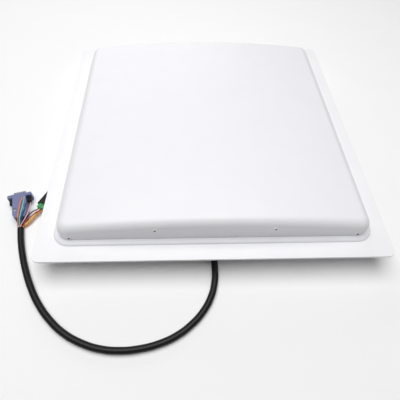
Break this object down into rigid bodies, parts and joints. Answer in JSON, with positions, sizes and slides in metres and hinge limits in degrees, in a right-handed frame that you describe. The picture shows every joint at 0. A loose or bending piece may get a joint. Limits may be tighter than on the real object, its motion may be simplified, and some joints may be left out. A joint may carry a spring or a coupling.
{
  "type": "flat panel reader antenna for a security gate",
  "caption": "Flat square gate panel: crowned white cover on a wide plate, reader box behind, and a short cable ending in a serial plug and a power jack.",
  "frame": {"origin": "middle of the panel at the outer face of its rear cover, which is also the surface it lies on", "axes": "+Z out of the crowned cover, +X to the right and -Y towards the side where the cable leaves"},
  "size_m": [0.5163, 0.5497, 0.0745],
  "materials": {
    "white_plate": "satin white powder coat",
    "white_cover": "smooth white",
    "sealing_rubber": "matte",
    "bright_aluminium": "mill finish",
    "steel_screws": "zinc plated",
    "brass_posts": "plain",
    "nylon": "moulded",
    "circuit_board": "solder mask",
    "coax_jacket": "extruded",
    "grey_box": "satin grey powder coat",
    "tin_plate": "bright plated",
    "black_parts": "moulded",
    "heat_pad": "soft",
    "red_wire": "extruded",
    "gland_nylon": "moulded",
    "cable_jacket": "smooth PVC",
    "wire_salmon": "PVC",
    "wire_cyan": "PVC",
    "wire_teal": "PVC",
    "wire_pink": "PVC",
    "wire_brown": "PVC",
    "wire_crimson": "PVC",
    "wire_white": "PVC",
    "wire_yellow": "PVC",
    "wire_orange": "PVC",
    "wire_black": "PVC",
    "hood_blue": "moulded blue-grey",
    "nickel_shell": "nickel plated",
    "green_block": "moulded"
  },
  "bodies": {
    "panel": {"base_plate": "white_plate", "radome": "white_cover", "radome_gasket": "sealing_rubber", "radome_tabs": "bright_aluminium", "tab_rivets": "bright_aluminium", "radome_screws": "steel_screws", "patch_1": "bright_aluminium", "patch_2": "bright_aluminium", "patch_3": "bright_aluminium", "patch_4": "bright_aluminium", "patch_posts": "brass_posts", "patch_spacers": "nylon", "feed_board": "circuit_board", "feed_probes": "brass_posts", "rf_bulkhead": "brass_posts", "rf_pigtail": "coax_jacket", "reader_housing": "grey_box", "housing_screws": "steel_screws", "cover_gasket": "sealing_rubber", "rear_cover": "grey_box", "rear_inserts": "bright_aluminium", "cover_screws": "steel_screws", "reader_board": "circuit_board", "board_standoffs": "brass_posts", "board_screws": "steel_screws", "shield_can": "tin_plate", "board_parts": "black_parts", "heat_pad": "heat_pad", "board_header": "nylon", "header_plug": "nylon", "inner_wires": "red_wire", "gland_o_ring": "sealing_rubber", "gland_body": "gland_nylon", "gland_lock_nut": "gland_nylon", "gland_seal": "sealing_rubber", "gland_dome_nut": "gland_nylon", "data_cable": "cable_jacket", "wire_salmon": "wire_salmon", "wire_cyan": "wire_cyan", "wire_teal": "wire_teal", "wire_pink": "wire_pink", "wires_black": "wire_black", "wire_brown": "wire_brown", "wire_crimson": "wire_crimson", "wire_white": "wire_white", "wire_yellow": "wire_yellow", "wire_orange": "wire_orange", "serial_hood_lower": "hood_blue", "serial_hood_upper": "hood_blue", "hood_screws": "tin_plate", "serial_shell": "nickel_shell", "serial_insulator": "black_parts", "serial_contacts": "brass_posts", "jack_body": "black_parts", "jack_contacts": "tin_plate", "terminal_block": "green_block"},
    "jackscrew_left": {"jackscrew_left": "black_parts"},
    "jackscrew_right": {"jackscrew_right": "black_parts"},
    "terminal_screw_a": {"terminal_screw_a": "tin_plate"},
    "terminal_screw_b": {"terminal_screw_b": "tin_plate"}
  },
  "joints": [
    {"name": "jackscrew_left_turn", "type": "hinge", "parent": "panel", "child": "jackscrew_left", "pos_m": [-0.28713, -0.10902, 0.0075], "axis": [-0.2419, 0.9703, 0], "continuous": true},
    {"name": "jackscrew_right_turn", "type": "hinge", "parent": "panel", "child": "jackscrew_right", "pos_m": [-0.26287, -0.10298, 0.0075], "axis": [-0.2419, 0.9703, 0], "continuous": true},
    {"name": "terminal_screw_a_turn", "type": "hinge", "parent": "panel", "child": "terminal_screw_a", "pos_m": [-0.24341, -0.12303, 0.009], "axis": [0, 0, 1], "range_deg": [0, 1080]},
    {"name": "terminal_screw_b_turn", "type": "hinge", "parent": "panel", "child": "terminal_screw_b", "pos_m": [-0.23893, -0.12526, 0.009], "axis": [0, 0, 1], "range_deg": [0, 1080]}
  ]
}
